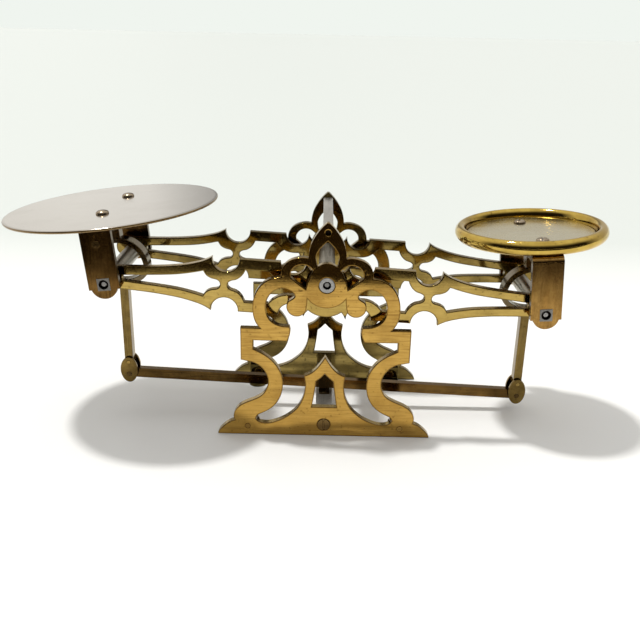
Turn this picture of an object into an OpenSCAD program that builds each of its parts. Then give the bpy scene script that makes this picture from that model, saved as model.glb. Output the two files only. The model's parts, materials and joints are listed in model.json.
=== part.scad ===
// Letter scale: twin-plate equal-arm (Roberval) balance on two fretwork stands.
// +Z is up, +X runs along the beam to the right-hand pan, the front faces -Y.
// The origin lies on the resting plane, midway between the two stands.

/* [Stands] */
// Thickness of the stand plates
stand_t = 3.0; // [2.6:0.1:3.2]
// Distance over the outer faces of the two stands
stand_span = 60.8; // [60.2:0.2:62]
// Height of the main pivot above the resting plane
hub_z = 66.0; // [65.8:0.1:66.2]
// Outside diameter of the steel hub bushes
hub_bush_d = 6.0; // [5.6:0.2:6.8]

/* [Beam] */
// Thickness of the beam plates
beam_t = 3.0; // [2.4:0.1:3.2]
// Distance over the outer faces of the two beam plates
beam_span = 47.8; // [47:0.2:48.6]
// Distance from the main pivot to each pan pivot, along the beam
arm_l = 87.0; // [80:0.5:96]
// Height of the main pivot above the line of the pan pivots
pivot_rise = 6.1; // [5:0.1:7]
// Tilt of the beam as modelled, right-hand side down
rest_tilt = 2.85; // [0:0.05:2.85]
// Diameter of the three cross shafts between the beam plates
shaft_d = 7.0; // [5:0.2:7.4]
// Diameter of the pivot ends of the cross shafts
pivot_d = 2.0; // [1.6:0.1:2.4]
// Radial clearance of the running pivots
pivot_fit = 0.05; // [0.02:0.01:0.1]

/* [Pans] */
// Diameter of the flat left-hand letter plate
left_pan_d = 87.4; // [76:0.2:96]
// Thickness of the letter plate
left_pan_t = 1.2; // [1:0.1:2]
// Diameter over the rolled rim of the right-hand weight pan
right_pan_d = 62.2; // [61.8:0.2:72]
// Height of the carrier strap above the pan pivots
strap_h = 24.0; // [22:0.5:28]
// Width of the carrier strap
strap_w = 12.2; // [11:0.2:13]
// Thickness of the carrier strap
strap_t = 2.4; // [1.8:0.1:2.6]
// Side of the square steel bushes in the strap
bush_s = 5.0; // [4.4:0.2:5.8]
// Lean of the left-hand pan and strap on its stem
left_lean = 5.6; // [0:0.1:7]
// Lean of the right-hand pan and strap on its stem
right_lean = 4.1; // [0:0.1:5]

/* [Lower linkage] */
// Height of the pan pivots above the stay pins
drop = 47.7; // [47:0.1:48.6]
// Extra length of the left-hand stem
left_extra = 2.0; // [0:0.1:2]
// Offset of the stems from the pan pivots, towards the middle
stem_in = 0.8; // [0:0.1:1]
// Width of the stems, seen from the front
stem_w = 3.6; // [3:0.1:4.4]
// Depth of the stems, front to back
stem_d = 4.5; // [4.2:0.1:5]
// Height of the stay bar
stay_h = 4.3; // [3.6:0.1:4.6]
// Thickness of the stay bar
stay_t = 3.0; // [2.4:0.1:3.2]
// Distance of the lower linkage from the middle plane, towards the back
link_y = -1.25; // [-2:0.25:2]
// Outside width of the rings round the end shafts
hoop_d = 25.2; // [24.6:0.2:26]
// Wall of the rings
hoop_t = 2.2; // [1.4:0.1:2.4]
// Depth of the flattened lower side of the rings below the pan pivots
hoop_low = 8.0; // [7.6:0.1:10]

/* [Screw-down lugs] */
// Half the distance between the lug holes, left to right
lug_x = 31.6; // [30:0.1:33]
// Half the distance between the lug holes, front to back
lug_y = 19.4; // [18:0.2:20]
// Diameter of the lug holes
lug_hole_d = 3.2; // [2.5:0.1:4]

/* [Hidden] */
$fn = 48;
so = stand_span / 2;
si = so - stand_t;
bo = beam_span / 2;
bi = bo - beam_t;
mid_z = -4.77;                       // beam centre line below the main pivot
beam_mid = mid_z;
piv_r = pivot_d / 2;
tenon_r = 2.0;
strap_o = so - 0.4;                  // outer faces of the carrier legs
strap_i = strap_o - strap_t;
hoop_r = hoop_d / 2;
hoop_y0 = link_y - 5.25;
hoop_y1 = link_y + 0.75;
spacer_z = 86.9;
foot_screw_z = 5.2;
rivet_z = 3.9;
pL = [-arm_l * cos(rest_tilt) - pivot_rise * sin(rest_tilt), hub_z - pivot_rise * cos(rest_tilt) + arm_l * sin(rest_tilt)];
pR = [ arm_l * cos(rest_tilt) - pivot_rise * sin(rest_tilt), hub_z - pivot_rise * cos(rest_tilt) - arm_l * sin(rest_tilt)];

// end pins of the stay, its tilt, half length and fulcrum
eL = [pL[0] + stem_in, pL[1] - drop - left_extra];
eR = [pR[0] - stem_in, pR[1] - drop];
stay_tilt = atan((eL[1] - eR[1]) / (eR[0] - eL[0]));
stay_arm = (eR[0] - eL[0]) / 2 / cos(stay_tilt);
fulcrum_x = (eL[0] + eR[0]) / 2 + pivot_rise * sin(stay_tilt);
fulcrum_z = (eL[1] + eR[1]) / 2 + pivot_rise * cos(stay_tilt);
// pan screws, about the pan pivots
left_screws = [[0.3, -16.5], [2.6, 16.5]];
right_screws = [[1.2, -15.2], [-0.7, 16.5]];

// ---- outlines ------------------------------------------------------------------------

// smooth run through the points of p, without its last point
function cr1(a, b, c, d, t) = 0.5 * (2 * b + (c - a) * t + (2 * a - 5 * b + 4 * c - d) * t * t + (3 * b - a - 3 * c + d) * t * t * t);
function run(p, n = 4) = let (m = len(p) - 1)
    [for (i = [0 : m - 1]) for (j = [0 : n - 1]) cr1(p[max(0, i - 1)], p[i], p[i + 1], p[min(m, i + 2)], j / n)];
// arc about c from angle a0 to a1, without its last point
function arc(c, r, a0, a1, n = 12) = [for (i = [0 : n - 1]) let (a = a0 + (a1 - a0) * i / n) c + r * [cos(a), sin(a)]];
function flip(p) = [for (i = [len(p) - 1 : -1 : 0]) [-p[i][0], p[i][1]]];
function turn(p) = [for (i = [len(p) - 1 : -1 : 0]) [p[i][0], -p[i][1]]];
function both(p) = concat(p, flip(p));

// right half of the outer edge of a stand, from the foot to the finial
stand_edge = concat(
    [[44, 0]],
    run([[44, 0.6], [43.4, 1.8], [42.2, 3.2], [40.4, 4.8], [38.6, 5.9], [37, 6.5]], 3),
    run([[37, 6.5], [37.4, 8], [37.2, 9.8], [36.3, 11.6], [34.7, 13.3], [32.4, 14.7], [29.4, 16], [26.6, 17.5],
         [24.6, 19.4], [23.4, 21.9], [23.1, 24.8], [23.7, 27.4], [25.1, 29.7], [27, 31.6], [29.2, 32.7], [31, 33.1]], 3),
    [[31, 33.1], [34.1, 33.8], [34.1, 47.6]],
    run([[26.3, 47.6], [27.8, 49.6], [28.8, 52.3], [29.2, 55.6], [28.9, 59.1], [28, 62.2], [26.4, 64.9], [24.1, 67.1],
         [21.2, 68.5], [18, 69]], 3),
    run([[18, 69], [17.8, 71.4], [16.7, 73.8], [14.8, 75.6], [12.1, 76.7], [9.4, 77.1], [7.4, 76.8]], 3),
    run([[7.4, 76.8], [7.2, 79.3], [6.4, 82.4], [5.1, 85.1], [3.5, 87.5], [1.7, 89.6], [0, 91.2]], 3));
// right half of the large opening, from the point of the lancet to the hub
stand_void = concat(
    run([[0, 35.8], [1.3, 33.6], [3.1, 31], [5, 29], [6.7, 27.9], [8.4, 27.2]], 3),
    run([[8.4, 27.2], [8.1, 25.2], [7.9, 22.9], [8.2, 19.8], [9.1, 16.5], [10.9, 13], [13.6, 10.1], [17.1, 7.6],
         [21.1, 5.9], [24.2, 5.4], [26.7, 5.9], [28.1, 7.3], [27.3, 9], [24.8, 10.3], [22.2, 11.9], [20, 14.1],
         [18.4, 16.7], [17.4, 19.6], [17, 22.7], [17.2, 25.8], [18, 28.7], [19.5, 31.5], [21.7, 34.1], [24.6, 36.3],
         [27, 37.6], [29, 38.6]], 3),
    [[29, 38.6], [29, 42.3]],
    run([[15.4, 42.2], [14.5, 44.4], [14.1, 46.6], [14.5, 48.5]], 3),
    run([[14.5, 48.5], [18.1, 48.8], [21, 50.1], [23, 52.3], [23.9, 55.4], [23.7, 58.4], [22.6, 61.1], [20.5, 63.3],
         [17.8, 64.4], [15.4, 64.1], [13.3, 62.8], [12.5, 61.3], [13.6, 60.1], [15.1, 59.2]], 3),
    arc([11.7, 56.9], 4.1, 34, -150, 14),
    run([[8.15, 54.85], [7.7, 57.2], [7.5, 60.17]], 3),
    arc([0, 66], 9.5, -37.9, -90, 8), [[0, 56.5]]);
lobe_void = concat(
    run([[14.2, 69], [14, 71.2], [12.5, 73.2], [10.2, 74.1], [7.8, 73.8], [5.4, 72]], 3),
    run([[5.4, 72], [6.7, 69.5], [7.7, 67], [8.3, 64.4]], 3),
    run([[8.3, 64.4], [11.1, 66.4], [14.2, 69]], 3));
drop_void = concat(
    run([[3.9, 73.4], [4.3, 75.6], [4.4, 77.7], [3.3, 80.1], [1.7, 82], [0, 83.7]], 3));
drop_base = run([[-3.9, 73.4], [-2, 74.5], [0, 74.9], [2, 74.5], [3.9, 73.4]], 3);
window_void = [[5.1, 13.2], [4.6, 16], [4.1, 19.5], [3.7, 22.4], [3.5, 24.8], [1.6, 26.4], [0, 28.1]];

// upper right quarter of the outer edge of a beam plate, from the tip to the middle
function ax(x) = x <= 50 ? x : 50 + (x - 50) * (arm_l - 50) / 37;
function stretch(p) = [for (q = p) [ax(q[0]), q[1]]];
beam_edge = concat(
    stretch(concat(run([[94.8, 0], [94.4, 2], [93, 3.6], [90.8, 4.4], [88, 4.6], [80, 4.8], [68, 5.6], [58, 6.9],
         [51.2, 8.6], [48, 9.9], [45.8, 11.2]], 3))),
    arc([40.4, 10.8], 5.45, 4.2, -182.1, 16),
    [[34.95, 11], [18.8, 11]],
    arc([13.7, 11.2], 5.1, -4, -184, 14),
    run([[8.6, 11.5], [7.8, 9.8], [6.75, 8.45]], 3),
    arc([0, 0], 10.8, 51.4, 90, 5), [[0, 10.8]]);
// openings of a beam plate on the right-hand side, upper edges
inner_void = concat(
    run([[39.4, 0], [39.1, 1], [38, 1.8], [36, 2.4], [34.3, 3.6], [33.1, 5.2], [32.4, 6.7]], 3),
    [[32.4, 6.7]],
    run([[23, 6.7], [21.5, 5], [19, 3.3], [16.2, 2.5], [13, 2.5], [10.42, 2.85]], 3),
    arc([0, 0], 10.8, 15.3, 0, 4), [[10.8, 0]]);
arm_void = concat(
    stretch(run([[81.3, 0], [81, 0.7], [80, 1.2], [68, 2.1], [60, 2.9], [54, 4], [49.2, 5.2]], 3)),
    run([[49.2, 5.2], [48, 3.4], [46, 2.3], [43.7, 1.8], [42.7, 1], [42.4, 0]], 3), [[42.4, 0]]);

module quarter_out(p) { polygon(concat(p, flip(p), [for (q = p) [-q[0], -q[1]]], turn(p))); }
module sym_void(p) { polygon(concat(p, turn(p))); mirror([1, 0]) polygon(concat(p, turn(p))); }

module along(y0, y1) { translate([0, y1, 0]) rotate([90, 0, 0]) linear_extrude(y1 - y0) children(); }
module rod(r, y0, y1) { translate([0, y1, 0]) rotate([90, 0, 0]) cylinder(r = r, h = y1 - y0); }
module at_hub() { translate([0, 0, hub_z]) rotate([0, rest_tilt, 0]) children(); }
module at_left() { translate([pL[0], 0, pL[1]]) children(); }
module at_right() { translate([pR[0], 0, pR[1]]) children(); }
module front_back() { children(); mirror([0, 1, 0]) children(); }

// ---- stands ---------------------------------------------------------------------------

module stand_2d() {
    difference() {
        polygon(both(stand_edge));
        polygon(both(stand_void));
        polygon(lobe_void);
        mirror([1, 0]) polygon(lobe_void);
        polygon(concat(drop_void, [[0, 83.7]], flip(drop_void), drop_base));
        polygon(both(window_void));
    }
}
module stand_front() {
    difference() {
        along(-so, -si) stand_2d();
        translate([0, 0, hub_z]) rod(hub_bush_d / 2, -so - 1, -si + 1);
        translate([0, 0, spacer_z]) rod(1.2, -so - 1, -si + 1);
        translate([0, 0, foot_screw_z]) rod(1.5, -so - 1, -si + 1);
        translate([0, 0, foot_screw_z]) rod(2.6, -so - 1, -so + 1.2);
        for (s = [-1, 1]) translate([s * lug_x, 0, rivet_z]) rod(1.1, -so - 1, -si + 1);
    }
}
module front_stand() { color([0.72, 0.55, 0.27]) stand_front(); }
module back_stand() { color([0.62, 0.48, 0.22]) mirror([0, 1, 0]) stand_front(); }

module hub_bush() {
    translate([0, 0, hub_z]) difference() {
        rod(hub_bush_d / 2, -so - 0.2, -si + 0.2);
        rod(piv_r + pivot_fit, -so - 1, -si + 1);
        rod(1.6, -so - 1, -so + 1.7);
    }
}
module front_hub_bush() { color([0.75, 0.76, 0.78]) hub_bush(); }
module back_hub_bush() { color([0.75, 0.76, 0.78]) mirror([0, 1, 0]) hub_bush(); }

module top_spacer() {
    color([0.7, 0.7, 0.68]) translate([0, 0, spacer_z]) union() {
        translate([-2, -si, -1.8]) cube([4, 2 * si, 3.6]);
        rod(1.2, -so + 1.4, so - 1.4);
    }
}
module bottom_spacer() {
    color([0.66, 0.66, 0.64]) difference() {
        translate([-3.5, -si, 0]) cube([7, 2 * si, 8]);
        translate([0, 0, foot_screw_z]) rod(1.5, -si - 1, -si + 9);
        translate([0, 0, foot_screw_z]) rod(1.5, si - 9, si + 1);
        for (s = [-1, 1]) translate([0, link_y + s * 4.6, -1]) cylinder(r = 0.9, h = 10);
    }
}
module foot_screw() {
    translate([0, 0, foot_screw_z]) difference() {
        union() {
            rod(2.6, -so - 0.15, -so + 1.2);
            rod(1.5, -so + 1, -si + 8);
        }
        translate([-0.4, -so - 1, -3]) cube([0.8, 1.5, 6]);
    }
}
module foot_screws() { color([0.55, 0.5, 0.42]) front_back() foot_screw(); }

// forked post carrying the stay, riveted down onto the bottom spacer
post_in = stay_t / 2 + 0.4;
module post_cheek_2d() {
    union() {
        translate([-2.35, 8]) square([4.7, fulcrum_z - 8]);
        translate([0, fulcrum_z]) circle(r = 2.9);
    }
}
module stay_post() {
    color([0.25, 0.22, 0.18]) difference() {
        union() {
            along(link_y - post_in - 1.6, link_y - post_in) post_cheek_2d();
            along(link_y + post_in, link_y + post_in + 1.6) post_cheek_2d();
            translate([-2.35, link_y - 6, 8]) cube([4.7, 12, 0.6]);
            for (s = [-1, 1]) translate([0, link_y + s * 4.6, 0.2]) cylinder(r = 0.9, h = 8.6);
        }
        translate([fulcrum_x, 0, fulcrum_z]) rod(piv_r + pivot_fit, link_y - 9, link_y + 9);
    }
}

module lug() {
    difference() {
        union() {
            translate([lug_x - 4, -si, 0]) cube([8, si - lug_y, 1.8]);
            translate([lug_x, -lug_y, 0]) cylinder(r = 4, h = 1.8);
            translate([lug_x - 4, -si, 0]) cube([8, 2, 7]);
        }
        translate([lug_x, -lug_y, -1]) cylinder(d = lug_hole_d, h = 4);
        translate([lug_x, 0, rivet_z]) rod(1.1, -si - 1, -si + 3);
    }
}
module lug_pair() { lug(); mirror([1, 0, 0]) lug(); }
module front_lugs() { color([0.6, 0.45, 0.2]) lug_pair(); }
module back_lugs() { color([0.6, 0.45, 0.2]) mirror([0, 1, 0]) lug_pair(); }
module rivet() {
    translate([lug_x, 0, rivet_z]) union() {
        rod(1.1, -so, -si + 2.2);
        rod(1.8, -si + 2, -si + 2.9);
    }
}
module lug_rivets() { color([0.5, 0.36, 0.16]) front_back() { rivet(); mirror([1, 0, 0]) rivet(); } }

// ---- beam -----------------------------------------------------------------------------

module beam_2d() {
    difference() {
        translate([0, beam_mid]) difference() {
            quarter_out(beam_edge);
            sym_void(inner_void);
            sym_void(arm_void);
        }
        circle(r = tenon_r);
        for (s = [-1, 1]) translate([s * arm_l, -pivot_rise]) circle(r = tenon_r);
    }
}
module front_beam() { color([0.70, 0.55, 0.28]) at_hub() along(-bo, -bi) beam_2d(); }
module back_beam() { color([0.60, 0.46, 0.22]) at_hub() along(bi, bo) beam_2d(); }

module shaft(tip) {
    union() {
        rod(shaft_d / 2, -bi, bi);
        rod(tenon_r, -bo - 0.5, bo + 0.5);
        rod(piv_r, -tip, tip);
    }
}
module fulcrum_shaft() { color([0.72, 0.70, 0.64]) at_hub() shaft(so - 0.7); }
module left_end_shaft() { color([0.70, 0.70, 0.68]) at_hub() translate([-arm_l, 0, -pivot_rise]) shaft(strap_o - 0.5); }
module right_end_shaft() { color([0.70, 0.70, 0.68]) at_hub() translate([arm_l, 0, -pivot_rise]) shaft(strap_o - 0.5); }

// ---- pan carriers, drawn about the pan pivot ------------------------------------------

// side view of the strap: two legs and the bridge, outer corners rounded
module strap_side() {
    r = 3;
    difference() {
        polygon(concat([[-strap_o, -8]], arc([-strap_o + r, strap_h - r], r, 180, 90, 8), arc([strap_o - r, strap_h - r], r, 90, 0, 8),
                       [[strap_o, strap_h - r], [strap_o, -8]]));
        polygon(concat([[-strap_i, -9]], arc([-strap_i + 1, strap_h - strap_t - 1], 1, 180, 90, 4),
                       arc([strap_i - 1, strap_h - strap_t - 1], 1, 90, 0, 4), [[strap_i, strap_h - strap_t - 1], [strap_i, -9]]));
    }
}
module leg_2d() {
    union() {
        translate([-strap_w / 2, -2.1]) square([strap_w, strap_h + 4]);
        translate([0, -0.6]) circle(r = 5.3);
    }
}
module strap(rivet_hole, screws) {
    difference() {
        intersection() {
            along(-so - 2, so + 2) leg_2d();
            translate([-10, 0, 0]) rotate([90, 0, 90]) linear_extrude(20) strap_side();
        }
        translate([-bush_s / 2, -so - 2, -bush_s / 2]) cube([bush_s, 2 * so + 4, bush_s]);
        for (q = screws) translate([q[0], q[1], strap_h - 5]) cylinder(r = 1.4, h = 10);
        translate([0, (hoop_y0 + hoop_y1) / 2, strap_h - 5]) cylinder(r = 1.2, h = 10);
        if (rivet_hole) translate([0, 0, 16.3]) rod(1, -so - 1, -so + 5);
    }
}
module bushes() {
    front_back() difference() {
        translate([-bush_s / 2, -strap_o - 0.2, -bush_s / 2]) cube([bush_s, strap_t + 0.4, bush_s]);
        rod(piv_r + pivot_fit, -so - 1, -strap_i + 1);
        rod(1.9, -so - 1, -strap_o + 1.3);
    }
}
module pan_screw(t, turn_a) {
    difference() {
        union() {
            translate([0, 0, strap_h + t]) rotate_extrude() polygon(concat([[0, 0], [2.6, 0], [2.6, 0.3]],
                [for (i = [1 : 8]) [2.6 * cos(i * 11.25), 0.3 + 1.2 * sin(i * 11.25)]]));
            translate([0, 0, strap_h - strap_t - 1]) cylinder(r = 1.4, h = strap_t + 1 + t + 0.2);
        }
        rotate([0, 0, turn_a]) translate([-4, -0.35, strap_h + t + 0.7]) cube([8, 0.7, 2]);
    }
}
// short pillar between the bridge of the strap and the ring
module stud() {
    yc = (hoop_y0 + hoop_y1) / 2;
    union() {
        difference() {
            translate([-2.6, hoop_y0 + 0.4, 0]) cube([5.2, hoop_y1 - hoop_y0 - 0.8, strap_h - strap_t]);
            along(-so, so) ring_2d(hoop_r, hoop_low);
        }
        translate([0, yc, strap_h - strap_t - 1]) cylinder(r = 1.2, h = strap_t + 1);
    }
}
// half round above the pivot, flatter below it; points by rule
module ring_2d(r, low) {
    polygon([for (i = [0 : 59]) let (a = i * 6) [r * cos(a), (a > 180 ? low : r) * sin(a)]]);
}
module hoop() {
    along(hoop_y0, hoop_y1) difference() {
        ring_2d(hoop_r, hoop_low);
        ring_2d(hoop_r - hoop_t, hoop_low - hoop_t - 0.2);
    }
}
// stem, cheeks and pins; d is the drop to the stay pin, s the side the middle lies on
module stem(d, s) {
    difference() {
        translate([s * stem_in - stem_w / 2, link_y - stem_d / 2, -d + 3.2]) cube([stem_w, stem_d, d - 3.2 - hoop_low + 1.5]);
        along(-so, so) ring_2d(hoop_r, hoop_low);
        translate([s * stem_in, 0, -d + 5.6]) rod(0.8, -so, so);
    }
}
// oval 7.5 wide and 11.8 high, points by rule
module oval() { polygon([for (i = [0 : 35]) [3.75 * cos(i * 10), 5.9 * sin(i * 10)]]); }
module cheek_2d() {
    difference() {
        translate([0, 2]) oval();
        circle(r = 1.0);
        translate([0, 5.6]) circle(r = 0.8);
    }
}
module cheeks(d, s) {
    y = stem_d / 2;
    translate([s * stem_in, 0, -d]) {
        along(link_y - y - 1.2, link_y - y) cheek_2d();
        along(link_y + y, link_y + y + 1.2) cheek_2d();
    }
}
module fork_pin(d, s) { translate([s * stem_in, 0, -d]) rod(1.0, link_y - stem_d / 2 - 1.4, link_y + stem_d / 2 + 1.4); }
module fork_rivet(d, s) { translate([s * stem_in, 0, -d + 5.6]) rod(0.8, link_y - stem_d / 2 - 1.25, link_y + stem_d / 2 + 1.25); }
module lean_left() { at_left() rotate([0, -left_lean, 0]) children(); }
module lean_right() { at_right() rotate([0, -right_lean, 0]) children(); }

module left_strap() { color([0.48, 0.34, 0.16]) lean_left() strap(true, left_screws); }
module left_bushes() { color([0.72, 0.73, 0.75]) lean_left() bushes(); }
module left_pan() {
    color([0.78, 0.73, 0.70]) lean_left() difference() {
        translate([0, 0, strap_h]) cylinder(d = left_pan_d, h = left_pan_t);
        for (q = left_screws) translate([q[0], q[1], strap_h - 1]) cylinder(r = 1.4, h = 5);
    }
}
module left_pan_screws() { color([0.62, 0.58, 0.52]) lean_left() for (q = left_screws) translate([q[0], q[1], 0]) pan_screw(left_pan_t, 8); }
module left_stud() { color([0.4, 0.3, 0.16]) lean_left() stud(); }
module left_hoop() { color([0.5, 0.38, 0.2]) at_left() hoop(); }
module left_stem() { color([0.66, 0.5, 0.26]) at_left() stem(drop + left_extra, 1); }
module left_fork_cheeks() { color([0.5, 0.38, 0.18]) at_left() cheeks(drop + left_extra, 1); }
module left_fork_pin() { color([0.3, 0.26, 0.2]) at_left() fork_pin(drop + left_extra, 1); }
module left_fork_rivet() { color([0.4, 0.3, 0.15]) at_left() fork_rivet(drop + left_extra, 1); }
module left_leg_rivet() {
    color([0.45, 0.32, 0.16]) lean_left() translate([0, 0, 16.3]) union() {
        rod(1, -strap_o - 0.2, -strap_i);
        rod(1.5, -strap_o - 0.5, -strap_o);
    }
}

module right_strap() { color([0.62, 0.46, 0.22]) lean_right() strap(false, right_screws); }
module right_bushes() { color([0.72, 0.73, 0.75]) lean_right() bushes(); }
rr = right_pan_d / 2;
// section of the spun pan: flat bottom and a round rolled rim
rim = concat(
    [[0, 0], [rr - 3.4, 0]],
    run([[rr - 2.5, 0], [rr - 1.4, 0.3], [rr - 0.5, 1.2], [rr - 0.05, 2.3], [rr - 0.05, 3.4], [rr - 0.5, 4.6], [rr - 1.4, 5.5],
         [rr - 2.5, 5.8], [rr - 3.5, 5.4], [rr - 4.2, 4.5], [rr - 4.6, 3.0], [rr - 4.8, 1]], 3),
    [[rr - 4.8, 1], [0, 1]]);
module right_pan() {
    color([0.85, 0.70, 0.30]) lean_right() translate([0, 0, strap_h]) difference() {
        rotate_extrude($fn = 96) polygon(rim);
        for (q = right_screws) translate([q[0], q[1], -1]) cylinder(r = 1.4, h = 5);
    }
}
module right_pan_disc() {
    color([0.70, 0.66, 0.58]) lean_right() translate([0, 0, strap_h + 1]) difference() {
        cylinder(r = rr - 4.9, h = 1.2);
        for (q = right_screws) translate([q[0], q[1], -1]) cylinder(r = 1.4, h = 5);
    }
}
module right_pan_screws() { color([0.62, 0.58, 0.52]) lean_right() for (q = right_screws) translate([q[0], q[1], 0]) pan_screw(2.2, 70); }
module right_stud() { color([0.4, 0.3, 0.16]) lean_right() stud(); }
module right_hoop() { color([0.5, 0.38, 0.2]) at_right() hoop(); }
module right_stem() { color([0.66, 0.5, 0.26]) at_right() stem(drop, -1); }
module right_fork_cheeks() { color([0.5, 0.38, 0.18]) at_right() cheeks(drop, -1); }
module right_fork_pin() { color([0.3, 0.26, 0.2]) at_right() fork_pin(drop, -1); }
module right_fork_rivet() { color([0.4, 0.3, 0.15]) at_right() fork_rivet(drop, -1); }

// ---- stay -----------------------------------------------------------------------------

// drawn about its own fulcrum; the end pins lie pivot_rise lower, as on the beam
stay_z = -pivot_rise;
module stay_2d() {
    e = stay_arm + 3.4;
    r = stay_h / 2;
    difference() {
        union() {
            polygon(concat(arc([e - r, stay_z], r, -90, 90, 10), [[e - r, stay_z + r]],
                run([[7, stay_z + r], [4.6, stay_z + r + 0.8], [3.2, stay_z + r + 2.4], [2.6, 0]], 4),
                arc([0, 0], 2.6, 0, 180, 12),
                run([[-2.6, 0], [-3.2, stay_z + r + 2.4], [-4.6, stay_z + r + 0.8], [-7, stay_z + r]], 4),
                [[-7, stay_z + r], [-e + r, stay_z + r]], arc([-e + r, stay_z], r, 90, 270, 10), [[-e + r, stay_z - r]]));
        }
        circle(r = piv_r);
        for (s = [-1, 1]) translate([s * stay_arm, stay_z]) circle(r = 1.25);
    }
}
module at_post() { translate([fulcrum_x, 0, fulcrum_z]) rotate([0, stay_tilt, 0]) children(); }
module stay_bar() { color([0.42, 0.32, 0.18]) at_post() along(link_y - stay_t / 2, link_y + stay_t / 2) stay_2d(); }
module stay_pin() { color([0.6, 0.6, 0.6]) at_post() rod(piv_r, link_y - post_in - 1.9, link_y + post_in + 1.9); }

front_stand();
back_stand();
front_hub_bush();
back_hub_bush();
top_spacer();
bottom_spacer();
foot_screws();
stay_post();
front_lugs();
back_lugs();
lug_rivets();
front_beam();
back_beam();
fulcrum_shaft();
left_end_shaft();
right_end_shaft();
left_strap();
left_bushes();
left_pan();
left_pan_screws();
left_stud();
left_hoop();
left_stem();
left_fork_cheeks();
left_fork_pin();
left_fork_rivet();
left_leg_rivet();
right_strap();
right_bushes();
right_pan();
right_pan_disc();
right_pan_screws();
right_stud();
right_hoop();
right_stem();
right_fork_cheeks();
right_fork_pin();
right_fork_rivet();
stay_bar();
stay_pin();
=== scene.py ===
import bpy, bmesh, json, math
from mathutils import Matrix, Vector, geometry

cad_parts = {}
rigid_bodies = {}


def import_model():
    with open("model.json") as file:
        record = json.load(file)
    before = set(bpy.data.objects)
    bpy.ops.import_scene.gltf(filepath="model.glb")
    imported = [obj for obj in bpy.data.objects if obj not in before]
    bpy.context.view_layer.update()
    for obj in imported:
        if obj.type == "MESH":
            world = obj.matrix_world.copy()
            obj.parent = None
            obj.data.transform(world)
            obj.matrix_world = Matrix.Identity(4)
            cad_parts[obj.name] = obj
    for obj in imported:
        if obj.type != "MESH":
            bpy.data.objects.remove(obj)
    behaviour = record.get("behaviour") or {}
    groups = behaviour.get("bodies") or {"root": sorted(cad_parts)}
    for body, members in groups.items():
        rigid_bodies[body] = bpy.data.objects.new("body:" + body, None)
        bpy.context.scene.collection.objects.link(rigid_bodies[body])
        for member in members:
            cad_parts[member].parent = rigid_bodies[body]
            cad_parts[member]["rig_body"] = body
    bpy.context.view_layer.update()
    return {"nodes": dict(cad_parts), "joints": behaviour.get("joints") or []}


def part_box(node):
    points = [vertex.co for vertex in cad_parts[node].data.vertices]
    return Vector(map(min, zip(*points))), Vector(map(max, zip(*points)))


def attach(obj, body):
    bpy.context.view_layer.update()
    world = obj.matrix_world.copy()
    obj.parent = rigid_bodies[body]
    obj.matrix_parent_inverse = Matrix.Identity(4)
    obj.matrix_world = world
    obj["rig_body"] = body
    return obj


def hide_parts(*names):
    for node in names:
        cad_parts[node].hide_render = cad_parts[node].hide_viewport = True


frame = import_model()
NODES = frame["nodes"]
JOINTS = {j["name"]: j for j in frame["joints"]}
MM = 0.001

# ---------------------------------------------------------------- materials


def graph(name):
    m = bpy.data.materials.new(name)
    m.use_nodes = True
    nt = m.node_tree
    nt.nodes.clear()
    out = nt.nodes.new("ShaderNodeOutputMaterial")
    bsdf = nt.nodes.new("ShaderNodeBsdfPrincipled")
    nt.links.new(bsdf.outputs[0], out.inputs[0])
    return m, nt, bsdf


def node(nt, kind, **kw):
    n = nt.nodes.new(kind)
    for k, v in kw.items():
        if k in n.inputs:
            n.inputs[k].default_value = v
        else:
            setattr(n, k, v)
    return n


def ramp(nt, fac, stops, mode="LINEAR"):
    r = nt.nodes.new("ShaderNodeValToRGB")
    r.color_ramp.interpolation = mode
    els = r.color_ramp.elements
    while len(els) < len(stops):
        els.new(0.5)
    for e, (p, c) in zip(els, stops):
        e.position = p
        e.color = (*c, 1) if len(c) == 3 else c
    nt.links.new(fac, r.inputs[0])
    return r.outputs[0]


def gray(nt, fac, a, b, lo=0.0, hi=1.0):
    n = node(nt, "ShaderNodeMapRange")
    n.inputs["From Min"].default_value = a
    n.inputs["From Max"].default_value = b
    n.inputs["To Min"].default_value = lo
    n.inputs["To Max"].default_value = hi
    nt.links.new(fac, n.inputs["Value"])
    return n.outputs["Result"]


def math2(nt, op, a, b):
    n = node(nt, "ShaderNodeMath", operation=op)
    for i, v in enumerate((a, b)):
        if isinstance(v, (int, float)):
            n.inputs[i].default_value = v
        else:
            nt.links.new(v, n.inputs[i])
    return n.outputs[0]


def mix(nt, fac, a, b, blend="MIX"):
    n = nt.nodes.new("ShaderNodeMix")
    n.data_type = "RGBA"
    n.blend_type = blend
    for sock, v in ((n.inputs[0], fac), (n.inputs[6], a), (n.inputs[7], b)):
        if isinstance(v, (int, float)):
            sock.default_value = v
        elif isinstance(v, (tuple, list)):
            sock.default_value = (*v, 1)
        else:
            nt.links.new(v, sock)
    return n.outputs[2]


def noise(nt, coord, scale, detail=4.0, rough=0.55, stretch=None, rot=None, offset=(0, 0, 0)):
    m = node(nt, "ShaderNodeMapping")
    m.inputs["Location"].default_value = offset
    m.inputs["Scale"].default_value = stretch or (1, 1, 1)
    if rot:
        m.inputs["Rotation"].default_value = rot
    nt.links.new(coord, m.inputs["Vector"])
    n = node(nt, "ShaderNodeTexNoise")
    n.inputs["Scale"].default_value = scale
    n.inputs["Detail"].default_value = detail
    n.inputs["Roughness"].default_value = rough
    nt.links.new(m.outputs[0], n.inputs["Vector"])
    return n.outputs["Fac"]


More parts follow.
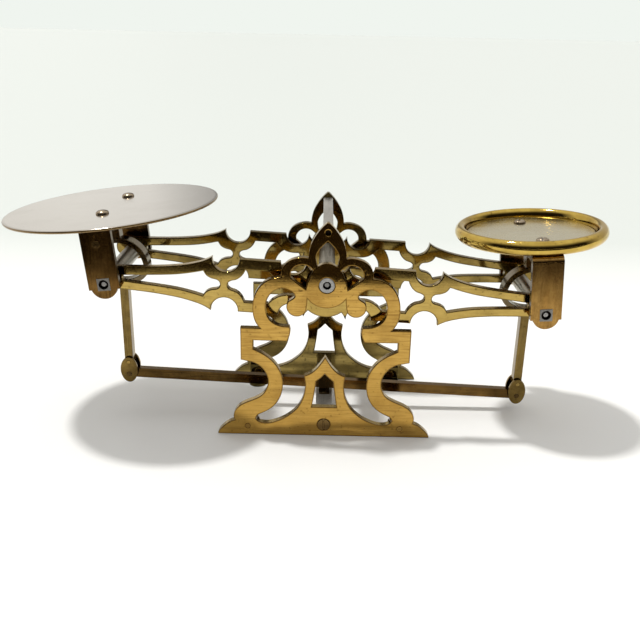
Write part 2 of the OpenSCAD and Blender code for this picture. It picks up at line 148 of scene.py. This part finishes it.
def metal(name, light, mid, dark, rough=(0.22, 0.40), brush=(0.06, 1, 1), brush_scale=900, brush_bump=0.05,
          tarnish=0.35, spots=0.25, edge=0.5, rot=None, seed=0.0, streak=0.5, lines=0.35):
    """Brass or steel: brushed along one way, clouded with tarnish, pitted, darker beside its edges."""
    m, nt, b = graph(name)
    b.inputs["Metallic"].default_value = 1.0
    co = node(nt, "ShaderNodeTexCoord").outputs["Object"]
    off = (seed, seed * 0.7, seed * 1.3)
    fine = noise(nt, co, brush_scale, 3.0, 0.6, brush, rot, off)
    wide = noise(nt, co, brush_scale * 0.22, 4.0, 0.65, brush, rot, off)
    cloud = noise(nt, co, 55, 5.0, 0.6, None, None, off)
    cloud2 = noise(nt, co, 210, 4.0, 0.65, None, None, (off[0] + 3, off[1], off[2]))
    grain = noise(nt, co, 1500, 2.0, 0.6, None, None, off)
    pits = noise(nt, co, 700, 1.0, 0.5, None, None, (off[0] - 5, off[1], off[2]))
    hair = noise(nt, co, brush_scale * 2.4, 2.0, 0.5, brush, rot, (off[0] + 7, off[1], off[2]))
    # colour: fine streaks between light and mid, then clouds of tarnish
    base = ramp(nt, math2(nt, "ADD", math2(nt, "MULTIPLY", wide, streak), math2(nt, "MULTIPLY", cloud2, 1 - streak)),
                [(0.30, mid), (0.62, light)])
    tmask = gray(nt, cloud, 0.50, 0.74, 0.0, tarnish)
    col = mix(nt, tmask, base, dark)
    hairs = math2(nt, "MULTIPLY", gray(nt, hair, 0.46, 0.66, 0.0, lines * 0.9), gray(nt, wide, 0.36, 0.58, 0.15, 1.0))
    col = mix(nt, hairs, col, tuple(c * 1.1 for c in dark))
    scratch = math2(nt, "MULTIPLY", gray(nt, fine, 0.58, 0.72, 0.0, lines), gray(nt, cloud2, 0.35, 0.6, 0.25, 1.0))
    col = mix(nt, scratch, col, tuple(c * 0.8 for c in dark))
    smask = gray(nt, pits, 0.66, 0.74, 0.0, spots)
    col = mix(nt, smask, col, tuple(c * 0.45 for c in dark))
    ed = node(nt, "ShaderNodeAttribute", attribute_name="edge").outputs["Fac"]
    em = math2(nt, "MULTIPLY", gray(nt, ed, 0.15, 1.0, 0.0, edge), gray(nt, cloud2, 0.3, 0.6, 0.55, 1.0))
    col = mix(nt, em, col, tuple(c * 0.6 for c in dark))
    nt.links.new(col, b.inputs["Base Color"])
    # roughness from the brushing, the clouds and a fine grain
    r = math2(nt, "ADD", gray(nt, wide, 0.3, 0.7, rough[0], rough[1]), gray(nt, cloud, 0.45, 0.75, 0.0, rough[1] * 0.5))
    r = math2(nt, "ADD", r, gray(nt, grain, 0.3, 0.7, -0.12 * rough[1], 0.2 * rough[1]))
    r = math2(nt, "ADD", r, math2(nt, "MULTIPLY", smask, 0.3))
    nt.links.new(r, b.inputs["Roughness"])
    bump = node(nt, "ShaderNodeBump")
    bump.inputs["Strength"].default_value = 1.0
    bump.inputs["Distance"].default_value = brush_bump * MM * 0.25
    h = math2(nt, "ADD", math2(nt, "MULTIPLY", fine, 1.0), math2(nt, "MULTIPLY", wide, 1.2))
    h = math2(nt, "ADD", h, math2(nt, "MULTIPLY", pits, -0.5))
    nt.links.new(h, bump.inputs["Height"])
    nt.links.new(bump.outputs[0], b.inputs["Normal"])
    return m


ALONG_X = (0.045, 1, 1)
ALONG_Z = (1, 1, 0.05)
ALONG_Y = (1, 0.05, 1)
M = {
    "face": metal("brass_linished", (0.56, 0.345, 0.085), (0.41, 0.235, 0.050), (0.17, 0.085, 0.018), (0.04, 0.085), ALONG_X, 900, 0.010, 0.42, 0.35, 0.92, seed=1.0, streak=0.65, lines=0.5),
    # face_back: the front stand's brass with darker base colours as painted shade on the back stand and back lugs, plus
    # heavier tarnish clouds
    "face_back": metal("brass_back_tarnish_and_shade", (0.36, 0.265, 0.085), (0.21, 0.155, 0.05), (0.07, 0.055, 0.02), (0.05, 0.10), ALONG_X, 800, 0.012, 0.75, 0.45, 0.9, seed=4.0, streak=0.45),
    "beam": metal("brass_beam", (0.52, 0.365, 0.105), (0.37, 0.25, 0.065), (0.14, 0.09, 0.022), (0.04, 0.09), ALONG_X, 900, 0.010, 0.50, 0.35, 0.92, seed=7.0, streak=0.55),
    # beam_back: the front beam's brass made darker, painted shade on the back beam
    "beam_back": metal("brass_beam_back_shaded", (0.30, 0.21, 0.06), (0.18, 0.125, 0.034), (0.06, 0.042, 0.013), (0.04, 0.09), ALONG_X, 900, 0.010, 0.62, 0.40, 0.9, seed=8.0, streak=0.5),
    "side": metal("brass_sawn_edge", (0.50, 0.36, 0.13), (0.29, 0.19, 0.06), (0.10, 0.062, 0.022), (0.14, 0.26), ALONG_Y, 700, 0.03, 0.55, 0.4, 0.3, seed=9.0),
    # side_back: the sawn-edge brass made darker, painted shade on the back plates' edges
    "side_back": metal("brass_edge_back_shaded", (0.30, 0.22, 0.08), (0.16, 0.11, 0.036), (0.055, 0.036, 0.014), (0.14, 0.26), ALONG_Y, 700, 0.03, 0.60, 0.4, 0.3, seed=10.0),
    # strap_l and strap_r: lit and shaded copies of one brass; the left strap's darker brown is painted shade, the right
    # strap's brighter gold is painted light
    "strap_l": metal("brass_strap_shaded", (0.48, 0.28, 0.08), (0.29, 0.145, 0.035), (0.10, 0.045, 0.012), (0.10, 0.17), ALONG_Z, 900, 0.010, 0.60, 0.4, 0.85, seed=11.0, streak=0.85, lines=0.7),
    "strap_r": metal("brass_strap_lit", (0.74, 0.46, 0.135), (0.54, 0.30, 0.075), (0.25, 0.12, 0.03), (0.12, 0.19), ALONG_Z, 900, 0.008, 0.42, 0.3, 0.85, seed=13.0, streak=0.85, lines=0.55),
    # strap_side: very dark brass on the straps' sideways faces, painted shade
    "strap_side": metal("brass_strap_side_shaded", (0.20, 0.13, 0.045), (0.11, 0.065, 0.022), (0.04, 0.023, 0.01), (0.16, 0.28), ALONG_Z, 700, 0.02, 0.55, 0.35, 0.4, seed=14.0),
    "stem": metal("brass_stem", (0.36, 0.25, 0.08), (0.22, 0.145, 0.042), (0.085, 0.052, 0.017), (0.08, 0.15), ALONG_Z, 900, 0.012, 0.55, 0.35, 0.7, seed=15.0, streak=0.8, lines=0.6),
    "cheek": metal("brass_cheek", (0.52, 0.355, 0.105), (0.34, 0.215, 0.06), (0.13, 0.08, 0.024), (0.07, 0.14), (1, 1, 1), 500, 0.012, 0.60, 0.45, 0.8, seed=16.0),
    "dark": metal("brass_dark", (0.26, 0.165, 0.06), (0.14, 0.083, 0.028), (0.05, 0.03, 0.013), (0.14, 0.28), ALONG_X, 700, 0.03, 0.55, 0.35, 0.6, seed=17.0),
    # stay: the brass made darker, painted shade on the stay bar between the stands
    "stay": metal("brass_stay_shaded", (0.36, 0.21, 0.058), (0.20, 0.108, 0.028), (0.065, 0.036, 0.012), (0.09, 0.18), ALONG_X, 800, 0.02, 0.60, 0.4, 0.75, seed=18.0, streak=0.8, lines=0.6),
    # post: near-black brass, painted shade on the stay post between the stands
    "post": metal("post_painted_shade", (0.14, 0.095, 0.04), (0.065, 0.042, 0.018), (0.022, 0.014, 0.008), (0.16, 0.30), ALONG_Z, 700, 0.03, 0.55, 0.3, 0.5, seed=20.0),
    "hoop": metal("brass_hoop", (0.36, 0.285, 0.17), (0.21, 0.155, 0.082), (0.08, 0.056, 0.028), (0.12, 0.24), ALONG_Y, 700, 0.02, 0.55, 0.35, 0.6, seed=19.0),
    "rim": metal("brass_polished", (0.60, 0.42, 0.095), (0.44, 0.29, 0.058), (0.18, 0.10, 0.020), (0.035, 0.075), (1, 1, 1), 300, 0.004, 0.45, 0.45, 0.2, seed=21.0, streak=0.3, lines=0.15),
    "pan": metal("pan_nickel", (0.54, 0.51, 0.465), (0.52, 0.49, 0.44), (0.44, 0.40, 0.355), (0.10, 0.13), (0.03, 1, 1), 900, 0.0012, 0.25, 0.06, 0.5, seed=23.0, lines=0.06),
    "plate_edge": metal("plate_edge_worn", (0.40, 0.27, 0.12), (0.22, 0.14, 0.06), (0.06, 0.04, 0.02), (0.12, 0.24), (1, 1, 1), 500, 0.01, 0.5, 0.35, 0.3, seed=24.0),
    "disc": metal("pan_disc", (0.68, 0.63, 0.46), (0.61, 0.55, 0.39), (0.46, 0.385, 0.24), (0.18, 0.26), (0.05, 1, 1), 1000, 0.004, 0.30, 0.15, 0.6, rot=(0, 0, 0.6), seed=25.0, lines=0.12),
    "steel": metal("steel_bright", (0.74, 0.74, 0.72), (0.58, 0.58, 0.56), (0.30, 0.28, 0.26), (0.30, 0.46), (1, 1, 1), 500, 0.02, 0.25, 0.3, 0.35, seed=27.0, lines=0.15),
    "bush": metal("steel_bush", (0.46, 0.45, 0.42), (0.32, 0.31, 0.29), (0.13, 0.12, 0.11), (0.24, 0.40), (1, 1, 1), 500, 0.02, 0.40, 0.35, 0.5, seed=26.0, lines=0.2),
    "spacer": metal("steel_spacer", (0.78, 0.76, 0.70), (0.66, 0.63, 0.57), (0.34, 0.30, 0.25), (0.26, 0.38), ALONG_Y, 700, 0.02, 0.30, 0.3, 0.4, seed=28.0, lines=0.2),
    "shaft": metal("steel_shaft", (0.50, 0.465, 0.38), (0.36, 0.325, 0.255), (0.15, 0.125, 0.09), (0.26, 0.42), (1, 0.6, 1), 600, 0.02, 0.50, 0.3, 0.4, seed=29.0),
    "screw": metal("screw_steel", (0.42, 0.34, 0.24), (0.28, 0.215, 0.145), (0.09, 0.06, 0.038), (0.14, 0.26), (1, 1, 1), 600, 0.02, 0.45, 0.35, 0.6, seed=31.0),
    "screw_foot": metal("screw_foot_brass", (0.40, 0.265, 0.10), (0.26, 0.16, 0.055), (0.09, 0.052, 0.02), (0.12, 0.24), (1, 1, 1), 600, 0.02, 0.50, 0.40, 0.8, seed=32.0),
    "rivet": metal("rivet_flush", (0.46, 0.285, 0.078), (0.35, 0.20, 0.05), (0.15, 0.078, 0.02), (0.05, 0.10), ALONG_X, 900, 0.01, 0.42, 0.35, 0.5, seed=34.0),
    "pivot": metal("pivot_steel", (0.50, 0.49, 0.47), (0.34, 0.33, 0.32), (0.14, 0.13, 0.12), (0.22, 0.34), (1, 1, 1), 500, 0.01, 0.3, 0.2, 0.3, seed=35.0, lines=0.1),
    # recess_shade: near-black, painted shade in the bushes' oil recesses and on the top spacer's tenon ends
    "recess_shade": metal("recess_painted_shade", (0.030, 0.022, 0.017), (0.018, 0.013, 0.010), (0.008, 0.006, 0.005), (0.35, 0.55), (1, 1, 1), 500, 0.02, 0.4, 0.3, 0.2, seed=33.0),
}

# ---------------------------------------------------------------- mesh helpers


def finish_mesh(name, bm, body, mats, replaces=(), angle=38, weighted=True):
    me = bpy.data.meshes.new(name)
    bm.to_mesh(me)
    bm.free()
    for m in mats:
        me.materials.append(m)
    me.shade_smooth()
    me.set_sharp_from_angle(angle=math.radians(angle))
    o = bpy.data.objects.new(name, me)
    bpy.context.scene.collection.objects.link(o)
    if weighted:
        w = o.modifiers.new("normals", "WEIGHTED_NORMAL")
        w.keep_sharp = True
        w.mode = "FACE_AREA"
    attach(o, body)
    if replaces:
        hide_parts(*replaces)
    return o


def face_loops(name, y):
    """Closed outlines (x, z), in metres, of the flat face of a node at that y; solid on the left of each."""
    me = NODES[name].data
    co = [v.co.copy() for v in me.vertices]
    key = [(round(c.x * 1e6), round(c.z * 1e6)) for c in co]
    seen = set()
    for p in me.polygons:
        vs = list(p.vertices)
        if all(abs(co[v].y - y) < 3e-6 for v in vs):
            ks = [key[v] for v in vs]
            for a, b in zip(ks, ks[1:] + ks[:1]):
                if a != b:
                    seen.add((a, b))
    nxt = {}
    for a, b in sorted(seen):
        if (b, a) not in seen:
            nxt.setdefault(a, []).append(b)
    loops = []
    while nxt:
        start = min(nxt)
        cur, loop = start, []
        while True:
            loop.append(cur)
            b = nxt[cur].pop()
            if not nxt[cur]:
                del nxt[cur]
            cur = b
            if cur == start:
                break
        loops.append([Vector((x * 1e-6, z * 1e-6)) for x, z in loop])
    return loops


def tidy(loop, tol=2e-6):
    """Without points closer than tol to the one before."""
    out = []
    for p in loop:
        if not out or (p - out[-1]).length > tol:
            out.append(p)
    while len(out) > 3 and (out[0] - out[-1]).length <= tol:
        out.pop()
    return out


def inset(loop, d):
    """The loop moved d into the solid on its left, with any folded stretch drawn together."""
    n = len(loop)
    out = []
    for i in range(n):
        a, p, b = loop[i - 1], loop[i], loop[(i + 1) % n]
        e1, e2 = (p - a).normalized(), (b - p).normalized()
        n1, n2 = Vector((-e1.y, e1.x)), Vector((-e2.y, e2.x))
        s = 1 + n1.dot(n2)
        k = min(1 / max(s, 0.12), 3.2)
        out.append(p + (n1 + n2) * d * k)
    for _ in range(12):
        bad = False
        for i in range(n):
            j = (i + 1) % n
            if (out[j] - out[i]).dot(loop[j] - loop[i]) < 0:
                mid = (out[i] + out[j]) / 2
                out[i] = mid.copy()
                out[j] = mid.copy()
                bad = True
        if not bad:
            break
    return out


def plate(name, src, body, mats, replaces, bevel=0.25, rim=0.42):
    """A fretwork plate on the node's own outlines: rolled arrises, and a narrow ring beside them that takes the patina."""
    lo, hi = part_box(src)
    y0, y1 = lo.y, hi.y
    if src in ("front_beam", "back_beam", "front_stand", "back_stand"):
        pass
    loops = [tidy(l) for l in face_loops(src, y0)]
    b, T = bevel * MM, y1 - y0
    steps = 3
    prof = [(b + rim * MM, 0.0, 0.0), (b + rim * 0.45 * MM, 0.0, 0.45), (b, 0.0, 1.0)]
    for k in range(1, steps + 1):
        t = math.pi / 2 * k / steps
        prof.append((b * (1 - math.sin(t)), b * (1 - math.cos(t)), 0.8))
    back = [(i, T - d, e) for i, d, e in reversed(prof)]
    prof = prof + back
    bm = bmesh.new()
    lay = bm.verts.layers.float.new("edge")
    rings_all = []
    for loop in loops:
        cache = {}
        rings = []
        span = max((p - loop[0]).length for p in loop)
        faint = 0.12 if span < 2.6 * MM else 1.0
        for ins, dep, e in prof:
            if ins not in cache:
                cache[ins] = inset(loop, ins) if ins > 0 else loop
            ring = []
            for p in cache[ins]:
                v = bm.verts.new((p.x, y0 + dep, p.y))
                v[lay] = e * faint
                ring.append(v)
            rings.append(ring)
        for r in range(len(rings) - 1):
            A, B = rings[r], rings[r + 1]
            wall = r == len(prof) // 2 - 1
            n = len(A)
            for i in range(n):
                j = (i + 1) % n
                f = bm.faces.new((A[i], B[i], B[j], A[j]))
                f.material_index = 1 if wall else 0
        rings_all.append(rings)
    for which in (0, -1):
        polys = [[Vector((v.co.x, v.co.z, 0)) for v in rings[which]] for rings in rings_all]
        verts = [v for rings in rings_all for v in rings[which]]
        for tri in geometry.tessellate_polygon(polys):
            t = [verts[i] for i in tri]
            if len(set(t)) == 3:
                try:
                    bm.faces.new(t)
                except ValueError:
                    pass
    bmesh.ops.remove_doubles(bm, verts=bm.verts, dist=1.5e-6)
    bmesh.ops.dissolve_degenerate(bm, edges=bm.edges, dist=1e-6)
    bmesh.ops.recalc_face_normals(bm, faces=bm.faces)
    return finish_mesh(name, bm, body, mats, replaces)


def soften(profile, r, n=3):
    """Rounds each inner corner of an open profile of (radius, height), in mm, with radius about r."""
    out = [Vector(profile[0])]
    for a, p, b in zip(profile, profile[1:], profile[2:]):
        a, p, b = Vector(a), Vector(p), Vector(b)
        d = min(r, (a - p).length * 0.45, (b - p).length * 0.45)
        s, e = p + (a - p).normalized() * d, p + (b - p).normalized() * d
        for k in range(n + 1):
            t = k / n
            out.append((1 - t) ** 2 * s + 2 * t * (1 - t) * p + t * t * e)
    out.append(Vector(profile[-1]))
    return out


def lathe(bm, profile, matrix, segs=48, edge=None, mat=0):
    """Turns (radius, height) in mm about the matrix's Z axis; radius 0 closes an end."""
    lay = bm.verts.layers.float.get("edge") or bm.verts.layers.float.new("edge")
    rings = []
    for k, (r, h) in enumerate(profile):
        e = edge[k] if edge else 0.0
        if r < 1e-6:
            v = bm.verts.new(matrix @ Vector((0, 0, h * MM)))
            v[lay] = e
            rings.append([v])
            continue
        ring = []
        for i in range(segs):
            t = 2 * math.pi * i / segs
            v = bm.verts.new(matrix @ Vector((r * MM * math.cos(t), r * MM * math.sin(t), h * MM)))
            v[lay] = e
            ring.append(v)
        rings.append(ring)
    for A, B in zip(rings, rings[1:]):
        for i in range(segs):
            j = (i + 1) % segs
            if len(A) == 1 and len(B) == 1:
                continue
            if len(A) == 1:
                f = bm.faces.new((A[0], B[j], B[i]))
            elif len(B) == 1:
                f = bm.faces.new((A[i], A[j], B[0]))
            else:
                f = bm.faces.new((A[i], A[j], B[j], B[i]))
            f.material_index = mat


def clean(name, src, body, mats, bevel=0.18, angle=34, replaces=True, seg=2, pick=None, patina=0.9):
    """The node's own solids with coplanar triangles joined and every arris rounded."""
    bm = bmesh.new()
    bm.from_mesh(NODES[src].data)
    bmesh.ops.remove_doubles(bm, verts=bm.verts, dist=3e-6)
    bmesh.ops.dissolve_limit(bm, angle_limit=math.radians(0.8), verts=bm.verts, edges=bm.edges)
    bm.verts.layers.float.new("edge")
    sharp = [e for e in bm.edges if e.is_manifold and e.calc_face_angle(0) > math.radians(angle)]
    if bevel > 0:
        res = bmesh.ops.bevel(bm, geom=sharp, offset=bevel * MM, segments=seg, profile=0.5, affect="EDGES", clamp_overlap=True, offset_type="OFFSET")
        lay = bm.verts.layers.float.get("edge")
        for f in res["faces"]:
            for v in f.verts:
                v[lay] = patina
    if pick:
        for f in bm.faces:
            f.material_index = pick(f.calc_center_median() / MM, f.normal)
    return finish_mesh(name, bm, body, mats, (src,) if replaces else ())


def axis_y(p):
    """Frame whose Z runs along the row's +Y, at p."""
    return Matrix.Translation(p) @ Matrix.Rotation(-math.pi / 2, 4, "X")


# ---------------------------------------------------------------- the fretwork

plate("stand_plate_front", "front_stand", "stand", [M["face"], M["side"]], ("front_stand",))
plate("stand_plate_back", "back_stand", "stand", [M["face_back"], M["side_back"]], ("back_stand",))
plate("beam_plate_front", "front_beam", "beam", [M["beam"], M["side"]], ("front_beam",))
plate("beam_plate_back", "back_beam", "beam", [M["beam_back"], M["side_back"]], ("back_beam",))

LOOK = {
    "front_hub_bush": ("steel", 0.12), "back_hub_bush": ("steel", 0.12), "top_spacer": ("spacer", 0.2), "bottom_spacer": ("spacer", 0.25),
    "foot_screws": ("screw_foot", 0.12), "stay_post": ("post", 0.15), "front_lugs": ("face", 0.15), "back_lugs": ("face_back", 0.15), "lug_rivets": ("rivet", 0.08),
    "fulcrum_shaft": ("shaft", 0.15), "left_end_shaft": ("shaft", 0.15), "right_end_shaft": ("shaft", 0.15),
    "left_strap": ("strap_l", 0.25), "right_strap": ("strap_r", 0.25), "left_bushes": ("bush", 0.1), "right_bushes": ("bush", 0.1),
    "left_pan_screws": ("screw", 0.12), "right_pan_screws": ("screw", 0.12), "left_stud": ("dark", 0.15), "right_stud": ("dark", 0.15),
    "left_stem": ("stem", 0.2), "right_stem": ("stem", 0.2), "left_fork_cheeks": ("cheek", 0.15), "right_fork_cheeks": ("cheek", 0.15),
    "left_fork_pin": ("dark", 0.1), "right_fork_pin": ("dark", 0.1), "left_fork_rivet": ("cheek", 0.06), "right_fork_rivet": ("cheek", 0.06),
    "left_leg_rivet": ("dark", 0.1), "stay_bar": ("stay", 0.2), "stay_pin": ("steel", 0.1),
}
BODY = {n: o["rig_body"] for n, o in NODES.items()}
PIVOT = {"front_hub_bush": "beam_pivot", "back_hub_bush": "beam_pivot", "left_bushes": "left_pan_pivot", "right_bushes": "right_pan_pivot"}
SHAFT = {"fulcrum_shaft": "beam_pivot", "left_end_shaft": "left_pan_pivot", "right_end_shaft": "right_pan_pivot"}


def picker(n):
    """Which faces of a bush lie in its oil recess, painted near-black as shade, and which of a shaft on its bright
    pivot ends.
    """
    if n in PIVOT:
        q = Vector(JOINTS[PIVOT[n]]["pos_m"]) / MM
        lo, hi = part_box(n)
        out = max(abs(lo.y), abs(hi.y)) / MM - 0.14
        # the recess faces take the near-black second material: painted shade
        return lambda c, n: 1 if abs(c.y) < out and abs(c.y) > 27.7 and math.hypot(c.x - q.x, c.z - q.z) < 2.1 else 0
    if n in SHAFT:
        q = Vector(JOINTS[SHAFT[n]]["pos_m"]) / MM
        return lambda c, n: 1 if abs(c.y) > 25 and math.hypot(c.x - q.x, c.z - q.z) < 1.06 else 0
    if n == "top_spacer":
        # the tenon ends take the near-black second material: painted shade of the hole in the finial
        return lambda c, n: 1 if abs(c.y) > 28 else 0
    if n in ("left_strap", "right_strap"):
        # faces turned sideways take the dark strap_side brass: painted shade
        return lambda c, n: 1 if abs(n.x) > 0.8 else 0
    return None


for n, (look, bev) in LOOK.items():
    # second material: pivot steel on shaft ends, painted shade on strap sides, near-black painted shade in recesses
    second = "pivot" if n in SHAFT else "strap_side" if n.endswith("_strap") else "recess_shade"
    p = picker(n)
    clean("m_" + n, n, BODY[n], [M[look], M[second]] if p else [M[look]], bev, pick=p, patina=0.1 if n.endswith(("rivet", "rivets")) else 0.9)

# ---------------------------------------------------------------- pans and rings


def joint_point(name):
    return Vector(JOINTS[name]["pos_m"])


pl, pr = joint_point("left_pan_pivot"), joint_point("right_pan_pivot")
lean_l, lean_r = math.radians(5.6), math.radians(4.1)
strap_h = 24.0


def leaned(p, a):
    return Matrix.Translation(p) @ Matrix.Rotation(-a, 4, "Y")


# flat letter plate: thin spun disc with a rounded lip
ml = leaned(pl, lean_l)
R, t = 43.7, 1.2
prof = [(0, strap_h), (30, strap_h), (R - 0.6, strap_h), (R - 0.2, strap_h + 0.15), (R, strap_h + 0.45), (R, strap_h + 0.75),
        (R - 0.15, strap_h + 1.03), (R - 0.5, strap_h + t), (R - 1.3, strap_h + t), (30, strap_h + t), (15, strap_h + t), (0, strap_h + t)]
bm = bmesh.new()
lathe(bm, prof, ml, 160, [0, 0, 0.3, 0.6, 1, 1, 0.8, 0.6, 0.15, 0, 0, 0])
bmesh.ops.recalc_face_normals(bm, faces=bm.faces)
inv = ml.inverted()
for f in bm.faces:
    c = inv @ f.calc_center_median() / MM
    if math.hypot(c.x, c.y) > R - 0.7 and c.z < strap_h + 1.1:
        f.material_index = 1
finish_mesh("letter_plate", bm, BODY["left_pan"], [M["pan"], M["plate_edge"]], ("left_pan",))


def catmull(pts, n):
    out = []
    for i in range(len(pts) - 1):
        a, b, c, d = (Vector(pts[max(0, i - 1)]), Vector(pts[i]), Vector(pts[i + 1]), Vector(pts[min(len(pts) - 1, i + 2)]))
        for j in range(n):
            t = j / n
            out.append(0.5 * (2 * b + (c - a) * t + (2 * a - 5 * b + 4 * c - d) * t * t + (3 * b - a - 3 * c + d) * t ** 3))
    out.append(Vector(pts[-1]))
    return out


mr = leaned(pr, lean_r)
rr = 31.1
rim_pts = [(rr - 2.5, 0), (rr - 1.4, 0.3), (rr - 0.5, 1.2), (rr - 0.05, 2.3), (rr - 0.05, 3.4), (rr - 0.5, 4.6), (rr - 1.4, 5.5),
           (rr - 2.5, 5.8), (rr - 3.5, 5.4), (rr - 4.2, 4.5), (rr - 4.6, 3.0), (rr - 4.8, 1)]
rim = [(0, 0), (20, 0)] + [(min(p[0], rr), p[1]) for p in catmull(rim_pts, 5)] + [(20, 1), (0, 1)]
bm = bmesh.new()
lathe(bm, [(r, h + strap_h) for r, h in rim], mr, 160)
bmesh.ops.recalc_face_normals(bm, faces=bm.faces)
finish_mesh("weight_pan", bm, BODY["right_pan"], [M["rim"]], ("right_pan",), angle=50)
bm = bmesh.new()
rd = rr - 4.9
lathe(bm, [(0, strap_h + 1), (rd, strap_h + 1), (rd, strap_h + 2.0), (rd - 0.2, strap_h + 2.2), (rd - 0.8, strap_h + 2.2), (12, strap_h + 2.2), (0, strap_h + 2.2)], mr, 128,
      [0, 0, 1, 1, 0.2, 0, 0])
bmesh.ops.recalc_face_normals(bm, faces=bm.faces)
finish_mesh("weight_pan_disc", bm, BODY["right_pan_disc"], [M["disc"]], ("right_pan_disc",))

for side in ("left", "right"):
    clean(side + "_ring", side + "_hoop", BODY[side + "_hoop"], [M["hoop"]], 0.25, seg=3)

# ---------------------------------------------------------------- stage, light, camera


def stage_plane(name, x0, x1, y0, y1, z, mat):
    me = bpy.data.meshes.new(name)
    me.from_pydata([(x0, y0, z), (x1, y0, z), (x1, y1, z), (x0, y1, z)], [], [(0, 1, 2, 3)])
    me.materials.append(mat)
    o = bpy.data.objects.new(name, me)
    bpy.context.scene.collection.objects.link(o)
    return o


fm, nt, b = graph("floor_white")
b.inputs["Roughness"].default_value = 0.6
b.inputs["Specular IOR Level"].default_value = 0.15
co = node(nt, "ShaderNodeTexCoord").outputs["Object"]
sep = node(nt, "ShaderNodeSeparateXYZ")
nt.links.new(co, sep.inputs[0])
far = gray(nt, sep.outputs["Y"], 0.10, 0.30)
near = mix(nt, noise(nt, co, 9, 3), (0.90, 0.90, 0.885), (0.93, 0.93, 0.915))
nt.links.new(mix(nt, far, near, (0.688, 0.722, 0.690)), b.inputs["Base Color"])
stage_plane("floor", -60, 60, -60, 60, 0.0, fm)

# the white sheet ends in front of the scale: seen only in its reflections
dm, nt, b = graph("dark_table")
b.inputs["Roughness"].default_value = 0.9
b.inputs["Specular IOR Level"].default_value = 0.0
nt.links.new(mix(nt, noise(nt, node(nt, "ShaderNodeTexCoord").outputs["Object"], 12, 3), (0.012, 0.009, 0.007), (0.03, 0.022, 0.016)), b.inputs["Base Color"])
flag = stage_plane("dark_front", -3, 3, -3, -0.235, 0.0006, dm)
flag.visible_camera = False
flag.visible_diffuse = False
flag.visible_shadow = False
flag.visible_transmission = False

world = bpy.data.worlds.new("studio")
bpy.context.scene.world = world
world.use_nodes = True
nt = world.node_tree
nt.nodes.clear()
out = nt.nodes.new("ShaderNodeOutputWorld")
bg = nt.nodes.new("ShaderNodeBackground")
nt.links.new(bg.outputs[0], out.inputs[0])
gen = nt.nodes.new("ShaderNodeTexCoord").outputs["Generated"]
sep = nt.nodes.new("ShaderNodeSeparateXYZ")
nt.links.new(gen, sep.inputs[0])
# bright towards the back wall (+Y), brightest to the left of it; dark room towards the photographer (-Y); bright overhead
yy = gray(nt, sep.outputs["Y"], -0.30, 0.20)
low_wall = ramp(nt, gray(nt, sep.outputs["X"], -0.5, 0.5), [(0.0, (0.90, 0.87, 0.82)), (0.16, (1.02, 1.0, 0.95)), (0.25, (0.98, 0.96, 0.92)),
                (0.34, (0.46, 0.45, 0.43)), (0.42, (0.34, 0.33, 0.31)), (0.52, (0.50, 0.49, 0.46)), (0.62, (0.64, 0.625, 0.59)), (1.0, (0.62, 0.60, 0.57))])
wall = mix(nt, gray(nt, sep.outputs["Z"], 0.035, 0.08), (0.871, 0.913, 0.863), low_wall)
wall = mix(nt, gray(nt, sep.outputs["Z"], 0.45, 0.75), wall, (1.0, 1.0, 0.985))
room = ramp(nt, gray(nt, sep.outputs["Z"], 0.0, 1.0), [(0.0, (0.012, 0.009, 0.007)), (0.40, (0.03, 0.024, 0.02)), (0.62, (0.36, 0.35, 0.34)), (0.85, (0.9, 0.9, 0.89))])
nt.links.new(mix(nt, yy, room, wall), bg.inputs[0])
bg.inputs[1].default_value = 1.0


sun = bpy.data.lights.new("key", "SUN")
sun.energy = 1.9
sun.angle = math.radians(4.5)
sun.color = (1.0, 0.99, 0.97)
so = bpy.data.objects.new("key", sun)
so.rotation_mode = "QUATERNION"
so.rotation_quaternion = Vector((0.27, -0.15, -0.95)).to_track_quat("-Z", "Y")
bpy.context.scene.collection.objects.link(so)

# camera at the photograph's viewing angle
cam = bpy.data.cameras.new("camera")
cam.sensor_width = 36.0
cam.lens = 778.38 / 640 * 36
cam.clip_start = 0.01
cam.clip_end = 20
co = bpy.data.objects.new("camera", cam)
bpy.context.scene.collection.objects.link(co)
yaw, pitch, roll = -0.00143, 0.35879, 0.02167
right = Vector((math.cos(yaw), -math.sin(yaw), 0))
fwd = Vector((math.sin(yaw) * math.cos(pitch), math.cos(yaw) * math.cos(pitch), -math.sin(pitch)))
up = right.cross(fwd)
r2 = right * math.cos(roll) + up * math.sin(roll)
u2 = up * math.cos(roll) - right * math.sin(roll)
rot = Matrix((r2, u2, -fwd)).transposed()
co.rotation_mode = "QUATERNION"
co.rotation_quaternion = rot.to_quaternion()
co.location = Vector((-2.02, -318.55, 159.72)) * MM
bpy.context.scene.camera = co
bpy.context.scene.view_settings.view_transform = "Standard"
bpy.context.scene.view_settings.look = "None"
bpy.context.scene.view_settings.exposure = 0.0
